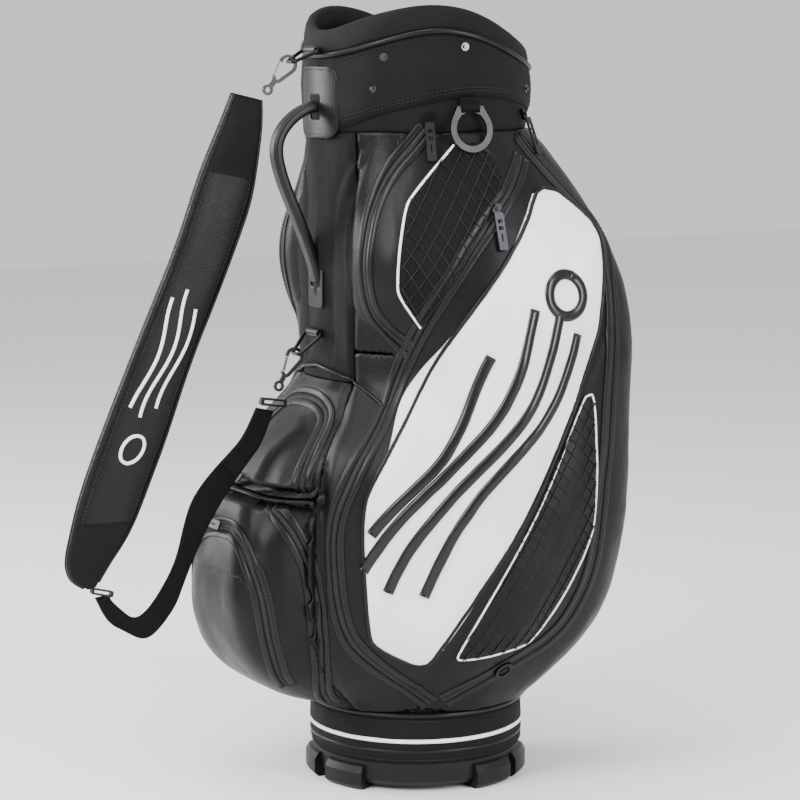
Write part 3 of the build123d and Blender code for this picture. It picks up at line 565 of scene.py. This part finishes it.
def angle_at(y, z):
    """The angle on the right side at which the finished surface reaches a y at a height."""
    result = []
    for yy, zz in zip(y, z):
        r = lookup(FINAL, FAN, np.full(len(FAN), zz))
        result.append(np.interp(yy, -r * np.cos(np.radians(FAN)), FAN))
    return np.array(result)


PATCH_STEP = 5.0


def patch(name, outline, mat, lift, dome=0.0):
    """A sewn-on panel on each side with an outline of (y, z) points, raised by a lift."""
    closed_line = list(outline) + [outline[0]]
    edge = []
    for (y0, z0), (y1, z1) in zip(closed_line[:-1], closed_line[1:]):
        count = max(1, int(math.hypot(y1 - y0, z1 - z0) / PATCH_STEP))
        edge += [(y0 + (y1 - y0) * k / count, z0 + (z1 - z0) * k / count) for k in range(count)]
    ys, zs = [p[0] for p in edge], [p[1] for p in edge]
    inner = []
    for y in np.arange(min(ys), max(ys), PATCH_STEP):
        for z in np.arange(min(zs), max(zs), PATCH_STEP):
            inner.append((y, z))
    flat = [Vector(p) for p in edge + inner]
    lines = [(k, (k + 1) % len(edge)) for k in range(len(edge))]
    v2, _, tris, origin, _, _ = geometry.delaunay_2d_cdt(flat, lines, [list(range(len(edge)))], 1, 0.01)
    rim = [k for k, o in enumerate(origin) if any(i < len(edge) for i in o)]
    order = {i: k for k in rim for i in origin[k] if i < len(edge)}
    loop = [order[i] for i in range(len(edge)) if i in order]
    y = np.array([p.x for p in v2])
    z = np.array([p.y for p in v2])
    reach = np.array([min(math.hypot(a - c, b - d) for c, d in edge) for a, b in zip(y, z)])
    rise = lift * np.clip(0.55 + reach / 6, 0, 1) + dome * (1 - np.exp(-(reach / 25) ** 2))
    phi = angle_at(y, z)
    top = on_surface(phi, z, rise)[0]
    foot = on_surface(phi[loop], z[loop], np.full(len(loop), -1.0))[0]
    verts = np.concatenate([top, foot])
    faces = [list(f) for f in tris]
    total = len(v2)
    for k in range(len(loop)):
        m = (k + 1) % len(loop)
        faces.append([loop[k], total + k, total + m, loop[m]])
    return emit(name, verts, faces, mat, twin=True)


def yz_path(points):
    """Points on the right side's surface from (y, z) points."""
    y, z = np.array([p[0] for p in points], float), np.array([p[1] for p in points], float)
    return on_surface(angle_at(y, z), z)[0].tolist()


WHITE_PANEL = [
    (77, 678), (100, 674), (140, 640), (145, 621), (130, 561), (122, 520), (113, 501), (90, 448),
    (-64, 166), (-72, 157), (-85, 158), (-125, 181), (-132, 192), (-143, 297), (-142, 346), (-133, 369),
    (-46, 530), (60, 672),
]
QUILT_PANEL = [
    (113, 452), (118, 440), (121, 310), (115, 285), (52, 178), (38, 171), (-36, 160), (-43, 168), (100, 449),
]
MESH_RIGHT = [(-27, 727), (-77, 674), (-87, 658), (-101, 578), (-97, 564), (-74, 531)]
for panel, twin_node in zip(patch("white_panel", WHITE_PANEL, PALE, 2.2), ("right", "left")):
    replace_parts(panel, "side_panel_" + twin_node)
closed_white = WHITE_PANEL + WHITE_PANEL[:1]
strip("white_panel_edge", yz_path(closed_white), round_profile(2.4), EDGE)
quilt_points = QUILT_PANEL + QUILT_PANEL[:1]
patch("quilt_panel", QUILT_PANEL, LEATHER, 1.2, dome=1.5)
strip("quilt_piping", yz_path(quilt_points), round_profile(1.3), WHITE)


def inside_polygon(y, z, outline):
    """Whether a point lies inside an outline: a line from it crosses the edges an odd number of times."""
    found = False
    for (y0, z0), (y1, z1) in zip(outline, outline[1:] + outline[:1]):
        if (z0 > z) != (z1 > z) and y < (y1 - y0) * (z - z0) / (z1 - z0) + y0:
            found = not found
    return found


def diamonds(name, outline, spacing, slopes, mat, radius_line, lift):
    """Quilting lines in two slanted directions inside an outline."""
    lines = []
    ys = [p[0] for p in outline]
    for slope in slopes:
        step = spacing * math.hypot(1, slope)
        low = min(z - slope * y for y, z in outline)
        high = max(z - slope * y for y, z in outline)
        for start in np.arange(low + step / 2, high, step):
            run = [(y, start + slope * y) for y in np.arange(min(ys), max(ys), 2.0)]
            run = [p for p in run if inside_polygon(*p, outline)]
            if len(run) > 4:
                lines.append(run)
    for index, run in enumerate(lines):
        ends_only = yz_path(run[::3] + [run[-1]])
        strip(f"{name}_{index}", ends_only, round_profile(radius_line, 0.0), mat, lift=lift)


MESH_PANEL = MESH_RIGHT + [(-62, 548), (-24, 622), (26, 684), (16, 712), (-4, 730)]
patch("mesh_panel", MESH_PANEL, MESH, 1.0, dome=1.0)
strip("mesh_piping", yz_path(MESH_RIGHT), round_profile(1.4), WHITE)
diamonds("mesh_line", MESH_PANEL, 13, (1.6, -1.6), EDGE, 0.7, 2.0)
diamonds("quilt_line", QUILT_PANEL, 12, (1.7, -1.0), EDGE, 0.6, 2.2)

# Four flowing curves and a ball, raised on the pale panel.
SLOPE = math.atan2(330, 205)


def along_panel(run, origin=(-104, 262)):
    """Points given along and across the pale panel's length, as (y, z)."""
    c, d = math.cos(SLOPE), math.sin(SLOPE)
    return [(origin[0] + a * c - b * d, origin[1] + a * d + b * c) for a, b in run]


def flow(start, end, middle, swing, phase):
    """A slow double curve along the panel."""
    steps = np.linspace(0, 1, 26)
    return [(start + (end - start) * t, middle + swing * math.sin(phase + 2 * math.pi * t)) for t in steps]


BALL_MARK = [(352 + 23 * math.cos(a), 4 + 23 * math.sin(a)) for a in np.linspace(0, 2 * math.pi, 25)]
MOTIF = [
    flow(-14, 318, 26, 13, 0.6), flow(-22, 330, 0, 14, 0.2), flow(-8, 322, -26, 13, -0.2),
    flow(24, 250, 44, 8, 1.2), BALL_MARK,
]
STROKE = [(-6.2, 0), (-5.6, 2.2), (-3.2, 3.6), (3.2, 3.6), (5.6, 2.2), (6.2, 0)]
for index, run in enumerate(MOTIF):
    path = yz_path([tuple(p) for p in smooth_path(along_panel(run), 6)])
    strip(f"motif_{index}", path, STROKE, GLOSS, lift=1.4)

# ---- Cuff, rim, neck and base rings ---------------------------------------------------------
# Wavy edges as (y, z), which run from the spine to the back.
CUFF_LOWER = [
    (-140, 726), (-127, 731), (-98, 756), (-64, 769), (-11, 780), (35, 777), (80, 768), (127, 750),
    (140, 744),
]
CUFF_UPPER = [
    (-140, 812), (-126, 818), (-84, 841), (-42, 852), (-5, 846), (21, 837), (61, 821), (100, 807),
    (140, 800),
]
RIM_EDGE = [
    (-140, 830), (-124, 845), (-102, 866), (-57, 879), (-12, 876), (30, 861), (65, 844), (100, 830),
    (140, 822),
]
RING_RADIUS = 118  # at which the wavy edges are read
TURNS = np.arange(0, 360, 1.5)


def edge_heights(edge, turns):
    """The height of a wavy or level edge round the bag."""
    if not isinstance(edge, list):
        return np.full(len(turns), float(edge))
    line = smooth_path(edge, 3)
    return np.interp(-RING_RADIUS * np.cos(turns), line[:, 0], line[:, 1])


def ring(name, lower, upper, profile, mat, crinkle=0.0):
    """A ring between two wavy edges. The profile is (share of the height, radius) points."""
    t = np.radians(TURNS)
    low, high = edge_heights(lower, t), edge_heights(upper, t)
    verts = []
    for k, angle in enumerate(t):
        for share, r in profile:
            z = low[k] + (high[k] - low[k]) * share
            if crinkle and 0.05 < share < 0.95:
                spot = Vector((math.sin(angle) * 6, math.cos(angle) * 6, z * 0.03))
                r = r + crinkle * noise.noise(spot)
            verts.append((r * math.sin(angle), -r * math.cos(angle), z))
    return emit(name, verts, grid_faces(len(t), len(profile), True), mat)[0]


def puffed(inner, outer, bulge, count=14):
    """A ring's section with a bulging outside and rounded corners."""
    out = []
    for s in np.linspace(0, 1, count):
        corner = 1.5 * min(1, 8 * min(s, 1 - s))
        out.append((s, outer - 1.5 + corner + bulge * math.sin(math.pi * s)))
    return out + [(1, inner), (0.66, inner), (0.33, inner), (0, inner)]


def roll_section(radius_at, thick):
    """A round section for a rolled edge."""
    turns_round = np.linspace(0, 2 * math.pi, 10)[:-1]
    return [(0.5 + 0.5 * math.sin(a), radius_at + thick * math.cos(a)) for a in turns_round]


cuff = ring("cuff_leather", CUFF_LOWER, CUFF_UPPER, puffed(125.2, 127.4, 2.2), CLOTH, 0.5)
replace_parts(cuff, "cuff")
rim = ring("rim_padded", CUFF_UPPER, RIM_EDGE, [
    (0.04, 126.0), (0.2, 126.6), (0.5, 125.8), (0.8, 124), (0.93, 121.8), (1, 118.4),
    (0.96, 114.4), (0.85, 113.2), (0.5, 113.1), (0.04, 113.1),
], CLOTH, 0.5)
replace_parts(rim, "cuff_rim")
roll_low, roll_high = ([(y, z + d) for y, z in CUFF_UPPER] for d in (-3, 3))
binding = ring("cuff_roll", roll_low, roll_high, roll_section(127.6, 2.6), EDGE)
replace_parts(binding, "cuff_binding")
neck = ring("neck_cloth", 740, 789, puffed(116.5, 124.4, 0.2), CLOTH, 0.6)
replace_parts(neck, "body_neck")
band = ring("base_cloth", 33.2, 87.8, puffed(117, 121.8, 0.9), CLOTH, 0.6)
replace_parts(band, "base_band")
top = ring("base_roll", 86.5, 92.5, roll_section(121.4, 3.4), EDGE)
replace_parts(top, "base_binding")


def circle_stitches(name, height_line, r, offset, spacing=4.6):
    """A row of stitches round the bag along a wavy height."""
    count = int(2 * math.pi * r / spacing)
    t = np.linspace(0, 2 * math.pi, count, endpoint=False)
    z = edge_heights(height_line, t) + offset
    base = np.stack([r * np.sin(t), -r * np.cos(t), z], 1)
    n = np.stack([np.sin(t), -np.cos(t), 0 * t], 1)
    along = unit(np.roll(base, -1, 0) - np.roll(base, 1, 0))
    beads(name, base, n, along, (3.0, 0.8, 0.7), THREAD, twin=False)


circle_stitches("cuff_stitch_low", CUFF_LOWER, 128.2, 7)
circle_stitches("cuff_stitch_low_two", CUFF_LOWER, 128.6, 10.5)
circle_stitches("cuff_stitch_high", CUFF_UPPER, 128.1, -7)
circle_stitches("band_stitch_low", 38, 122.4, 0)
circle_stitches("band_stitch_high", 83, 122.5, 0)
BAND_FOLD = [(0, 121.5), (0.2, 123), (0.8, 123), (1, 121.5), (1, 120), (0, 120)]
ring("band_fold", 46, 50, BAND_FOLD, EDGE)

# ---- Small sewn leather pieces --------------------------------------------------------------
SEWN = (
    ("ring_tab_upper", 0.0009, EDGE, "leather_edge"), ("ring_tab_lower", 0.0009, EDGE, "leather_edge"),
    ("handle_bracket", 0.0011, EDGE, "leather_edge"), ("handle_anchor", 0.0009, EDGE, "leather_edge"),
    ("towel_loop", 0.0008, WEB, "webbing"),
)
for name, voxel, look, slot_name in SEWN:
    verts, faces = dense_copy(name, voxel)
    piece = emit("sewn_" + name, verts, faces, look)[0]
    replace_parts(piece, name)


BRACKET_HALF, BRACKET_TALL, BRACKET_CORNER, BRACKET_MIDDLE, BRACKET_RADIUS = 41, 39.5, 14, 772, 130.0


def bracket_line(inset):
    """A rounded rectangle on the bracket's face, as points with their outward directions."""
    corner = BRACKET_CORNER
    reach_x, reach_z = BRACKET_HALF - inset - corner, BRACKET_TALL - inset - corner
    pts = []
    for sx, sz, start in ((1, 1, 0), (-1, 1, 90), (-1, -1, 180), (1, -1, 270)):
        for a in np.radians(np.linspace(start, start + 90, 12)):
            pts.append((sx * reach_x + corner * math.cos(a), sz * reach_z + corner * math.sin(a)))
    pts.append(pts[0])
    line = smooth_path([(x, 0, z + BRACKET_MIDDLE) for x, z in pts], 3.6)[:-1]
    r = BRACKET_RADIUS
    base = np.stack([line[:, 0], -np.sqrt(r * r - line[:, 0] ** 2), line[:, 2]], 1)
    n = np.stack([base[:, 0] / r, base[:, 1] / r, 0 * base[:, 0]], 1)
    along = unit(np.roll(base, -1, 0) - np.roll(base, 1, 0))
    return base, n, along


spots, outward, along = bracket_line(4)
beads("bracket_stitch", spots, outward, along, (2.6, 0.8, 0.7), THREAD, twin=False)


def tube(name, points, r, mat, body="bag", step=3.0):
    """A round bar along a free path."""
    path = smooth_path(points, step)
    t = unit(np.gradient(path, axis=0))
    side = np.array([1.0, 0, 0])
    b = unit(np.cross(t, side))
    angles = np.linspace(0, 2 * math.pi, 12, endpoint=False)
    verts = (
        path[:, None] + side * (np.cos(angles) * r)[None, :, None]
        + b[:, None] * (np.sin(angles) * r)[None, :, None]
    ).reshape(-1, 3)
    return emit(name, verts, bar_faces(len(path), len(angles)), mat, body)[0]


# ---- Strap pad and webbing -------------------------------------------------------------------
PAD_OUTER = [
    (-231, 783), (-239, 765), (-249, 744), (-260, 722), (-274, 692), (-300, 620), (-332, 552), (-367, 476),
    (-399, 404), (-420, 351), (-430, 312), (-437, 284), (-434, 264), (-412, 253),
]
PAD_INNER = [
    (-197, 775), (-196, 753), (-199, 726), (-203, 700), (-209, 666), (-226, 623), (-254, 559), (-285, 493),
    (-316, 409), (-330, 377), (-353, 324), (-368, 300), (-385, 280), (-402, 256),
]
PAD_ROWS = 110


def even(points, count):
    """A smooth line as a number of evenly spaced points."""
    line = smooth_path(points, 2)
    gone = np.concatenate([[0], np.cumsum(np.linalg.norm(np.diff(line, axis=0), axis=1))])
    at = np.linspace(0, gone[-1], count)
    return np.stack([np.interp(at, gone, line[:, k]) for k in range(2)], 1)


outer_line, inner_line = even(PAD_OUTER, PAD_ROWS), even(PAD_INNER, PAD_ROWS)
SHARES = np.linspace(0.03, 0.97, 18)


def pad_half(share, row, extra=0.0):
    """Half thickness of the pad at a share of its width and a row of its length."""
    end = min(1, min(row, PAD_ROWS - 1 - row) / 6)
    crown = (1 - abs(2 * share - 1) ** 3.2)
    crease = 0.5 * noise.noise(Vector((share * 2.2, row * 0.09, 1.7)))
    return 3.4 + (5.0 * crown + crease) * (0.45 + 0.55 * end) + extra


def pad_sheet(name, first, last, shares, extra, mat):
    """A padded sheet over some rows of the pad."""
    verts, rows = [], list(range(first, last + 1))
    for row in rows:
        a, b = outer_line[row], inner_line[row]
        top = [(pad_half(s, row, extra), *(a + (b - a) * s)) for s in shares]
        verts += top + [(-x, y, z) for x, y, z in reversed(top)]
    return emit(name, verts, bar_faces(len(rows), 2 * len(shares)), mat, "strap")[0]


pad = pad_sheet("pad_leather", 0, PAD_ROWS - 1, SHARES, 0.0, LEATHER)
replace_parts(pad, "strap_pad")
pad_sheet("pad_patch_top", 0, 17, SHARES[1:-1], 0.9, CLOTH)
pad_sheet("pad_patch_foot", 93, PAD_ROWS - 1, SHARES[1:-1], 0.9, CLOTH)
for word, line, inward in (("outer", outer_line, 1), ("inner", inner_line, -1)):
    shift = (inner_line - outer_line) * 0.03 * inward
    for side, face in ((-1, "b"), (1, "a")):
        points = [(side * 2.6, *p) for p in (line + shift)[::3]]
        tube(f"pad_roll_{word}_{face}", points, 2.3, EDGE, "strap")


def on_pad(row, share, side, lift):
    """A point on one face of the pad, at a row of its length and a share of its width."""
    index = np.arange(PAD_ROWS)
    a, b = (
        np.array([np.interp(row, index, line[:, k]) for k in range(2)]) for line in (outer_line, inner_line)
    )
    return (side * (pad_half(share, row) + lift), *(a + (b - a) * share))


def pad_stitches(name, share):
    for side, word in ((-1, "b"), (1, "a")):
        base = np.array([on_pad(row, share, side, 0.1) for row in np.arange(1, PAD_ROWS - 2, 0.9)])
        t = unit(np.gradient(base, axis=0))
        n = np.tile([float(side), 0, 0], (len(base), 1))
        beads(f"{name}_{word}", base, n, t, (3.2, 0.8, 0.7), THREAD, "strap", twin=False)


pad_stitches("pad_stitch_outer", 0.12)
pad_stitches("pad_stitch_inner", 0.88)

# The same curves and ball in white on the pad.
PAD_RING = [(77 + 3.1 * math.cos(a), 0.5 + 0.17 * math.sin(a)) for a in np.linspace(0, 2 * math.pi, 21)]
PAD_MARKS = [
    [(a, 0.3 + 0.07 * math.sin(0.25 * a)) for a in range(44, 70, 2)],
    [(a, 0.5 + 0.08 * math.sin(0.25 * a + 0.4)) for a in range(42, 72, 2)],
    [(a, 0.7 + 0.07 * math.sin(0.25 * a + 0.8)) for a in range(46, 70, 2)], PAD_RING,
]
for index, run in enumerate(PAD_MARKS):
    for side, word in ((-1, "b"), (1, "a")):
        pts = [on_pad(row, share, side, -0.2) for row, share in smooth_path(run, 0.4)]
        tube(f"pad_mark_{index}_{word}", pts, 2.0, WHITE, "strap", step=2.0)

WEB_OUTER = [
    (-402, 242), (-388, 213), (-368, 201), (-346, 188), (-329, 195), (-307, 221), (-297, 247),
    (-288, 266), (-276, 288), (-263, 311), (-246, 339), (-231, 359), (-214, 378), (-199, 394),
    (-184, 431),
]
WEB_INNER = [
    (-384, 244), (-386, 240), (-372, 226), (-358, 214), (-345, 218), (-329, 234), (-313, 259),
    (-304, 282), (-297, 307), (-286, 336), (-274, 354), (-259, 371), (-241, 386), (-221, 404),
    (-205, 436),
]
WEB_ROWS = 90
web_out, web_in = even(WEB_OUTER, WEB_ROWS), even(WEB_INNER, WEB_ROWS)


def web_strip(name, half, first=0, last=WEB_ROWS):
    """The webbing, or a second layer over some of its rows, with a slight wave."""
    verts = []
    shares = [0.0, 0.04, 0.2, 0.4, 0.6, 0.8, 0.96, 1.0]
    rows = range(first, last)
    for row in rows:
        a, b = web_out[row], web_in[row]
        wave_x = 1.6 * math.sin(row * 0.21) * math.sin(math.pi * row / (WEB_ROWS - 1))
        top = [(wave_x + half * (0.5 if s in (0.0, 1.0) else 1), *(a + (b - a) * s)) for s in shares]
        verts += top + [(2 * wave_x - x, y, z) for x, y, z in reversed(top)]
    return emit(name, verts, bar_faces(len(rows), 2 * len(shares)), WEB, "strap")[0]


web = web_strip("strap_web", 1.4)
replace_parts(web, "strap_webbing")
web_strip("strap_web_double", 2.6, last=10)
web_strip("strap_web_tail", 2.6, first=68)

# ---- Stage, light and camera ------------------------------------------------------------------
FLOOR_REACH = 6  # metres
floor_mesh = bpy.data.meshes.new("floor")
corners = [(x * FLOOR_REACH, y * FLOOR_REACH, 0) for x, y in ((-1, -1), (1, -1), (1, 1), (-1, 1))]
floor_mesh.from_pydata(corners, [], [[0, 1, 2, 3]])
floor = bpy.data.objects.new("floor", floor_mesh)
bpy.context.scene.collection.objects.link(floor)
paper = bpy.data.materials.new("paper")
paper.use_nodes = True
paper.node_tree.nodes["Principled BSDF"].inputs["Base Color"].default_value = (0.86, 0.86, 0.86, 1)
paper.node_tree.nodes["Principled BSDF"].inputs["Roughness"].default_value = 0.8
floor_mesh.materials.append(paper)
world = bpy.data.worlds.new("studio")
world.use_nodes = True
world.node_tree.nodes["Background"].inputs["Color"].default_value = (0.93, 0.94, 0.96, 1)
world.node_tree.nodes["Background"].inputs["Strength"].default_value = 0.95
bpy.context.scene.world = world


def lamp(name, place, target, power, size):
    light = bpy.data.lights.new(name, "AREA")
    light.energy = power
    light.shape = "RECTANGLE"
    light.size, light.size_y = size
    obj = bpy.data.objects.new(name, light)
    bpy.context.scene.collection.objects.link(obj)
    obj.location = place
    aim = Vector(target) - Vector(place)
    obj.rotation_euler = aim.to_track_quat("-Z", "Y").to_euler()


lamp("key", (0.6, -2.4, 1.9), (0, 0, 0.45), 95, (1.0, 1.6))
lamp("side", (2.6, 0.9, 1.4), (0.1, 0, 0.45), 85, (0.8, 1.8))
lamp("left", (-1.9, -1.6, 1.3), (0, -0.1, 0.45), 70, (0.6, 1.6))
lamp("top", (0.3, -0.4, 2.8), (0, 0, 0.5), 40, (1.4, 1.4))

AZIMUTH, TILT, LENS = math.radians(60), math.radians(8.2), 120.24
CAMERA_BACK, CAMERA_ASIDE, CAMERA_UP = 3.034, -0.018, 0.867  # metres
back = Vector((math.sin(AZIMUTH), -math.cos(AZIMUTH), 0))
right = Vector((math.cos(AZIMUTH), math.sin(AZIMUTH), 0))
camera_data = bpy.data.cameras.new("camera")
camera_data.lens = LENS
camera_data.sensor_width = 36
camera_data.clip_end = 30
camera = bpy.data.objects.new("camera", camera_data)
bpy.context.scene.collection.objects.link(camera)
ahead = -back * math.cos(TILT) - Vector((0, 0, 1)) * math.sin(TILT)
over = right.cross(ahead)
turn = Matrix((right, over, -ahead)).transposed().to_4x4()
stand = back * CAMERA_BACK + right * CAMERA_ASIDE + Vector((0, 0, CAMERA_UP))
camera.matrix_world = Matrix.Translation(stand) @ turn
bpy.context.scene.camera = camera
